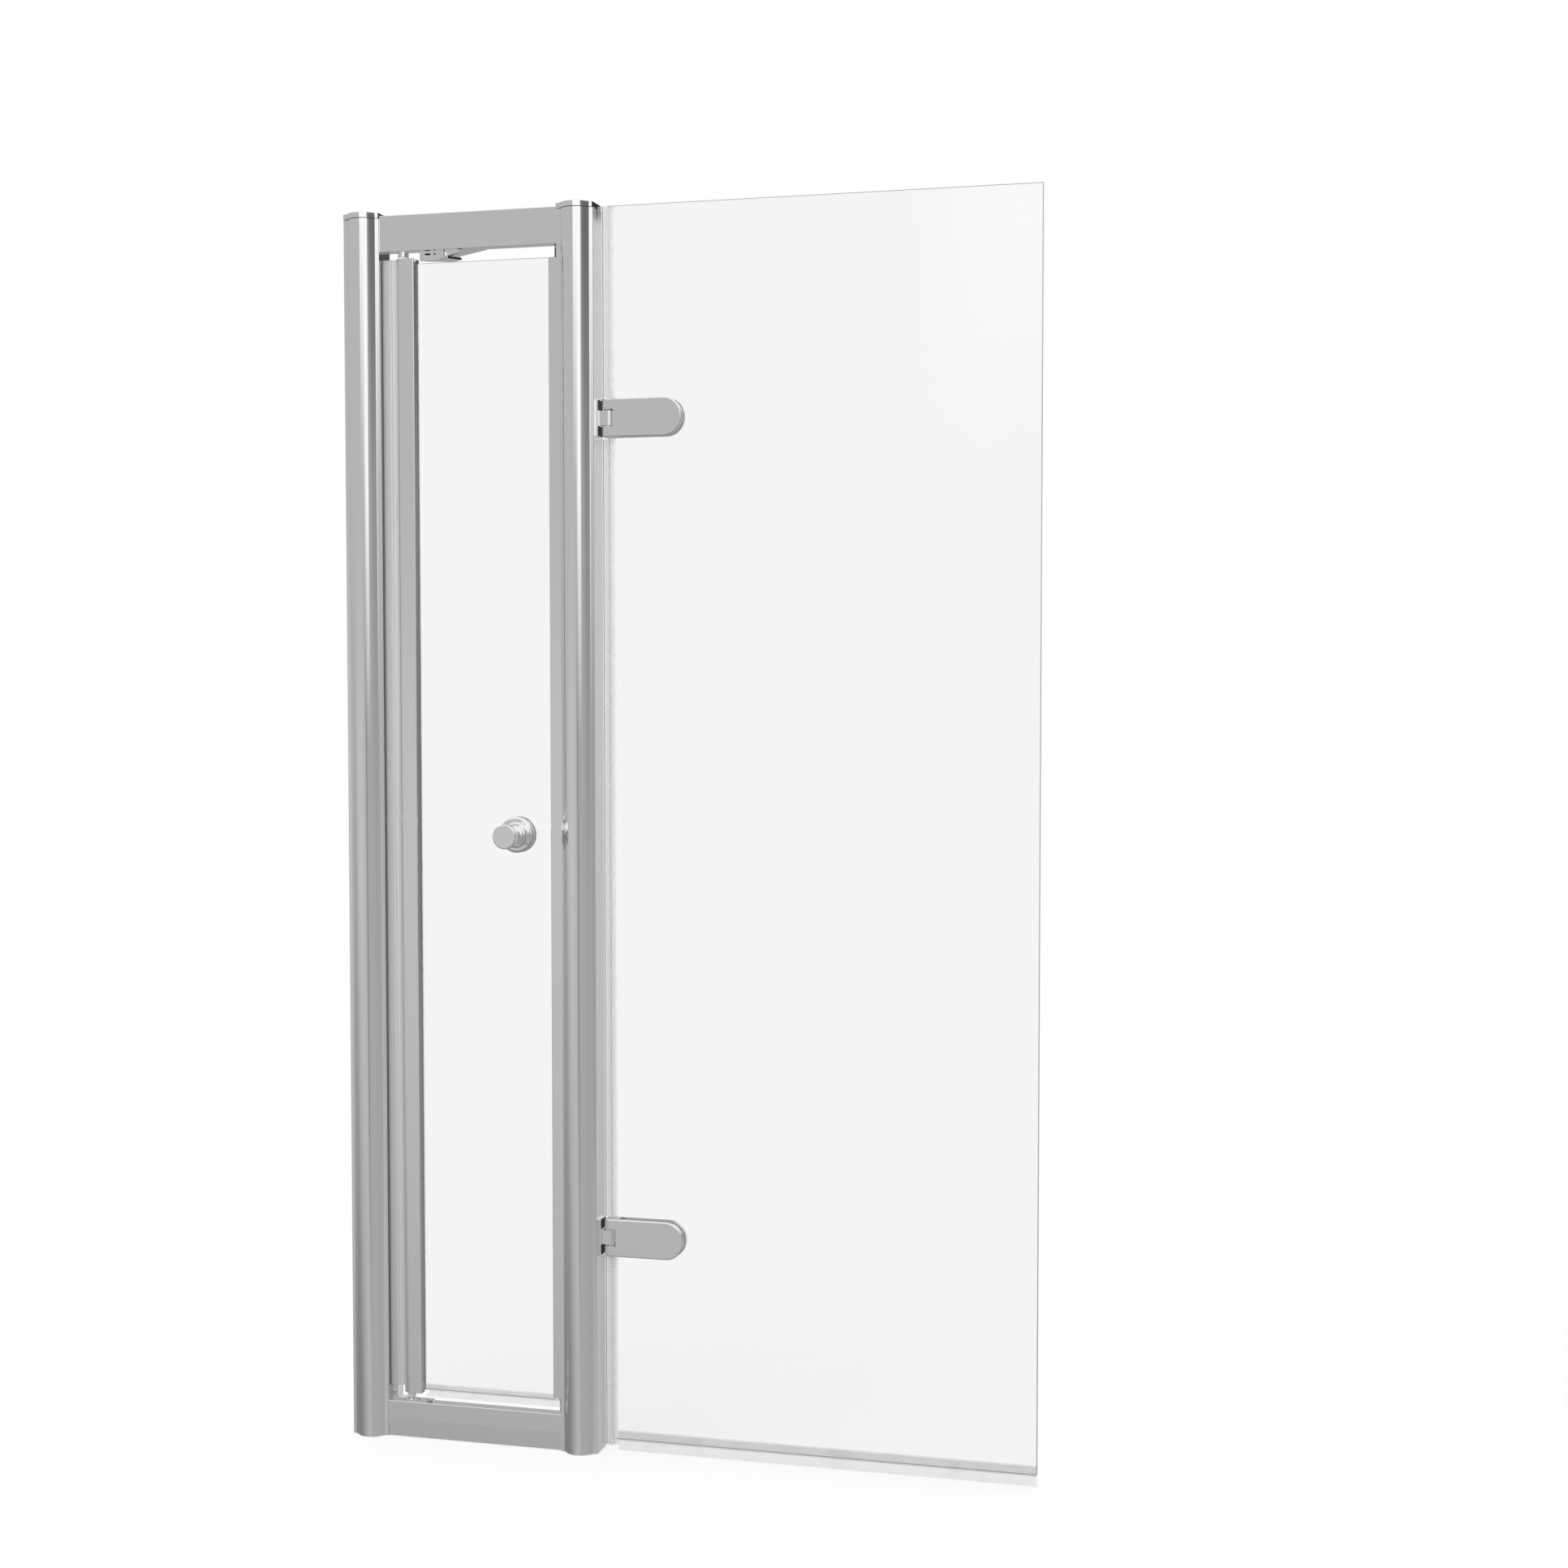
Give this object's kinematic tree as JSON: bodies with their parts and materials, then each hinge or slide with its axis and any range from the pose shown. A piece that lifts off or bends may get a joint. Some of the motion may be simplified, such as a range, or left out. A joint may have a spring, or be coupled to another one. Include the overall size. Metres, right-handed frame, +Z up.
{
  "type": "hinged bath screen",
  "caption": "Clear glass bath screen that swings on flat hinges beside a narrow framed pivot door with a round pull knob, fixed to the wall by a post over a channel.",
  "frame": {"origin": "foot of the wall channel's back face, on the wall, at the bath rim and in the middle of the glass", "axes": "+X from the wall along the screen, +Y from the room side through the glass, +Z up"},
  "size_m": [0.8535, 0.0816, 1.5036],
  "materials": {
    "polished_aluminium": "polished",
    "mill_aluminium": "satin",
    "chrome_fittings": "mirror polished",
    "steel_screws": "plain",
    "clear_glass": "clear polished",
    "clear_seal": "translucent",
    "white_nylon": "moulded",
    "dark_rubber": "moulded"
  },
  "bodies": {
    "frame": {"wall_channel": "mill_aluminium", "wall_post": "polished_aluminium", "hinge_post": "polished_aluminium", "wall_post_cap": "chrome_fittings", "hinge_post_cap": "chrome_fittings", "wall_cap_gasket": "dark_rubber", "hinge_cap_gasket": "dark_rubber", "top_rail": "polished_aluminium", "bottom_rail": "polished_aluminium", "rail_screws": "steel_screws", "post_screws": "steel_screws", "post_screw_caps": "chrome_fittings", "strike_profile": "polished_aluminium", "strike_seal": "dark_rubber", "top_pivot_pin": "chrome_fittings", "bottom_pivot_pin": "chrome_fittings", "bottom_pivot_plate": "chrome_fittings", "foot_screws": "steel_screws", "stay_bracket": "polished_aluminium", "bracket_screws": "steel_screws", "pivot_seal": "clear_seal", "seal_block": "clear_seal", "upper_hinge_plate": "chrome_fittings", "lower_hinge_plate": "chrome_fittings", "hinge_plate_screws": "steel_screws", "hinge_backing_plates": "steel_screws", "knuckle_bushes": "white_nylon"},
    "door": {"door_hinge_stile": "polished_aluminium", "stile_top_plug": "white_nylon", "stile_bottom_plug": "white_nylon", "door_glass": "clear_glass", "hinge_gasket": "clear_seal", "strike_gasket": "clear_seal", "strike_stile": "polished_aluminium", "door_bottom_seal": "clear_seal", "knob": "chrome_fittings", "knob_rose": "chrome_fittings", "knob_back_plate": "chrome_fittings", "knob_screw": "steel_screws", "knob_washers": "clear_seal"},
    "screen": {"screen_glass": "clear_glass", "upper_leaf_front": "chrome_fittings", "upper_leaf_back": "chrome_fittings", "lower_leaf_front": "chrome_fittings", "lower_leaf_back": "chrome_fittings", "leaf_gaskets": "clear_seal", "leaf_screws": "steel_screws", "hinge_pins": "steel_screws", "screen_edge_seal": "clear_seal", "screen_bottom_seal": "clear_seal"}
  },
  "joints": [
    {"name": "door_pivot", "type": "hinge", "parent": "frame", "child": "door", "pos_m": [0.075, -0.0065, 0.75], "axis": [0, 0, -1], "range_deg": [0, 95]},
    {"name": "screen_swing", "type": "hinge", "parent": "frame", "child": "screen", "pos_m": [0.3346, 0, 0.7565], "axis": [0, 0, 1], "range_deg": [-90, 90]}
  ]
}
